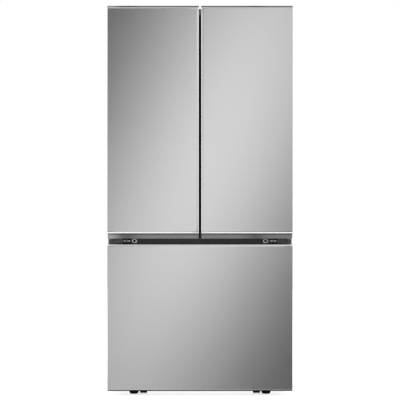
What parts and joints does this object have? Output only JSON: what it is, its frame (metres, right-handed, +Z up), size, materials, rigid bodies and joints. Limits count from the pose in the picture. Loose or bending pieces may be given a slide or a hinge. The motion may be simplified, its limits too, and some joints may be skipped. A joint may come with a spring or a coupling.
{
  "type": "french door refrigerator",
  "caption": "Free-standing french door refrigerator with a pair of fridge doors over a bottom freezer drawer, finger-pocket handles and brushed steel fronts.",
  "frame": {"origin": "bottom centre of the closed refrigerator, on the floor", "axes": "+Z up, the doors and drawer face -Y, +X to the right seen from the front"},
  "size_m": [0.832, 0.775, 1.75],
  "materials": {
    "steel_front": "satin",
    "cabinet_paint": "matte",
    "galvanised": "satin",
    "foam": "matte",
    "liner_white": "gloss",
    "dark_rail": "satin",
    "cap_grey": "satin",
    "black_plastic": "satin",
    "gasket": "matte",
    "mullion_grey": "satin",
    "hinge_steel": "satin",
    "clear_plastic": "gloss",
    "shelf_trim": "satin",
    "shelf_glass": "gloss",
    "compressor_black": "satin",
    "coil_metal": "satin",
    "foot_black": "satin",
    "tyre_black": "satin",
    "lamp_white": "satin",
    "tub_white": "gloss"
  },
  "bodies": {
    "cabinet": {"wrapper": "cabinet_paint", "back_panel": "galvanised", "base_pan": "galvanised", "cabinet_foam": "foam", "fridge_liner": "liner_white", "freezer_liner": "liner_white", "mullion_rail": "dark_rail", "machine_cover": "galvanised", "compressor": "compressor_black", "condenser": "coil_metal", "evaporator_cover": "liner_white", "air_duct": "shelf_trim", "ceiling_lamp": "lamp_white", "front_leg_beam": "galvanised", "rails_outer": "galvanised", "hinge_top_left": "hinge_steel", "hinge_top_right": "hinge_steel", "hinge_cover_left": "mullion_grey", "hinge_cover_right": "mullion_grey", "hinge_middle_left": "hinge_steel", "hinge_middle_right": "hinge_steel", "shelf_frames_left": "shelf_trim", "shelf_frames_right": "shelf_trim", "shelf_glass_left": "shelf_glass", "shelf_glass_right": "shelf_glass", "crisper_cover": "shelf_trim", "crisper_glass": "shelf_glass"},
    "door_left": {"door_skin_left": "steel_front", "door_inner_left": "liner_white", "door_caps_left": "cap_grey", "door_gasket_left": "gasket", "door_bin_upper_left": "clear_plastic", "door_bin_lower_left": "clear_plastic"},
    "door_right": {"door_skin_right": "steel_front", "door_inner_right": "liner_white", "door_caps_right": "cap_grey", "door_gasket_right": "gasket", "door_bin_upper_right": "clear_plastic", "door_bin_lower_right": "clear_plastic"},
    "flip_mullion": {"flip_mullion": "mullion_grey"},
    "dairy_lid": {"dairy_lid": "clear_plastic"},
    "freezer_drawer": {"drawer_skin": "steel_front", "drawer_inner": "liner_white", "drawer_caps": "cap_grey", "drawer_gasket": "gasket", "basket_frame": "galvanised", "freezer_basket": "tub_white"},
    "freezer_tray": {"freezer_tray": "tub_white"},
    "rail_left": {"rail_middle_left": "galvanised"},
    "rail_right": {"rail_middle_right": "galvanised"},
    "crisper_left": {"crisper_left": "clear_plastic"},
    "crisper_right": {"crisper_right": "clear_plastic"},
    "front_roller_left": {"front_roller_left": "tyre_black"},
    "front_roller_right": {"front_roller_right": "tyre_black"},
    "rear_roller_left": {"rear_roller_left": "tyre_black"},
    "rear_roller_right": {"rear_roller_right": "tyre_black"},
    "levelling_foot_left": {"levelling_foot_left": "foot_black"},
    "levelling_foot_right": {"levelling_foot_right": "foot_black"},
    "condenser_fan": {"condenser_fan": "black_plastic"},
    "evaporator_fan": {"evaporator_fan": "black_plastic"}
  },
  "joints": [
    {"name": "door_left_hinge", "type": "hinge", "parent": "cabinet", "child": "door_left", "pos_m": [-0.398, -0.352, 1.2], "axis": [0, 0, -1], "range_deg": [0, 120]},
    {"name": "door_right_hinge", "type": "hinge", "parent": "cabinet", "child": "door_right", "pos_m": [0.398, -0.352, 1.2], "axis": [0, 0, 1], "range_deg": [0, 120]},
    {"name": "mullion_flip", "type": "hinge", "parent": "door_left", "child": "flip_mullion", "pos_m": [-0.026, -0.2953, 1.2], "axis": [0, 0, -1], "range_deg": [0, 90]},
    {"name": "dairy_lid_hinge", "type": "hinge", "parent": "door_right", "child": "dairy_lid", "pos_m": [0.2085, -0.3075, 1.5245], "axis": [1, 0, 0], "range_deg": [0, 80]},
    {"name": "drawer_slide", "type": "slide", "parent": "cabinet", "child": "freezer_drawer", "axis": [0, -1, 0], "range_m": [0, 0.44]},
    {"name": "rail_left_slide", "type": "slide", "parent": "cabinet", "child": "rail_left", "axis": [0, -1, 0], "range_m": [0, 0.22]},
    {"name": "rail_right_slide", "type": "slide", "parent": "cabinet", "child": "rail_right", "axis": [0, -1, 0], "range_m": [0, 0.22]},
    {"name": "tray_slide", "type": "slide", "parent": "cabinet", "child": "freezer_tray", "axis": [0, -1, 0], "range_m": [0, 0.33]},
    {"name": "crisper_left_slide", "type": "slide", "parent": "cabinet", "child": "crisper_left", "axis": [0, -1, 0], "range_m": [0, 0.08]},
    {"name": "crisper_right_slide", "type": "slide", "parent": "cabinet", "child": "crisper_right", "axis": [0, -1, 0], "range_m": [0, 0.08]},
    {"name": "front_roller_left_spin", "type": "hinge", "parent": "cabinet", "child": "front_roller_left", "pos_m": [-0.2565, -0.29, 0.022], "axis": [1, 0, 0], "continuous": true},
    {"name": "rear_roller_left_spin", "type": "hinge", "parent": "cabinet", "child": "rear_roller_left", "pos_m": [-0.33, 0.33, 0.022], "axis": [1, 0, 0], "continuous": true},
    {"name": "levelling_foot_left_turn", "type": "hinge", "parent": "cabinet", "child": "levelling_foot_left", "pos_m": [-0.3, -0.29, 0.03], "axis": [0, 0, 1], "range_deg": [-1080, 1080]},
    {"name": "front_roller_right_spin", "type": "hinge", "parent": "cabinet", "child": "front_roller_right", "pos_m": [0.2565, -0.29, 0.022], "axis": [1, 0, 0], "continuous": true},
    {"name": "rear_roller_right_spin", "type": "hinge", "parent": "cabinet", "child": "rear_roller_right", "pos_m": [0.33, 0.33, 0.022], "axis": [1, 0, 0], "continuous": true},
    {"name": "levelling_foot_right_turn", "type": "hinge", "parent": "cabinet", "child": "levelling_foot_right", "pos_m": [0.3, -0.29, 0.03], "axis": [0, 0, 1], "range_deg": [-1080, 1080]},
    {"name": "condenser_fan_spin", "type": "hinge", "parent": "cabinet", "child": "condenser_fan", "pos_m": [0.054, 0.2695, 0.19], "axis": [1, 0, 0], "continuous": true},
    {"name": "evaporator_fan_spin", "type": "hinge", "parent": "cabinet", "child": "evaporator_fan", "pos_m": [0, 0.2915, 0.5215], "axis": [0, 1, 0], "continuous": true}
  ],
  "couplings": [
    {"joint": "rail_left_slide", "follows": "drawer_slide", "ratio": 0.5},
    {"joint": "rail_right_slide", "follows": "drawer_slide", "ratio": 0.5},
    {"joint": "tray_slide", "follows": "drawer_slide", "ratio": 0.75}
  ]
}
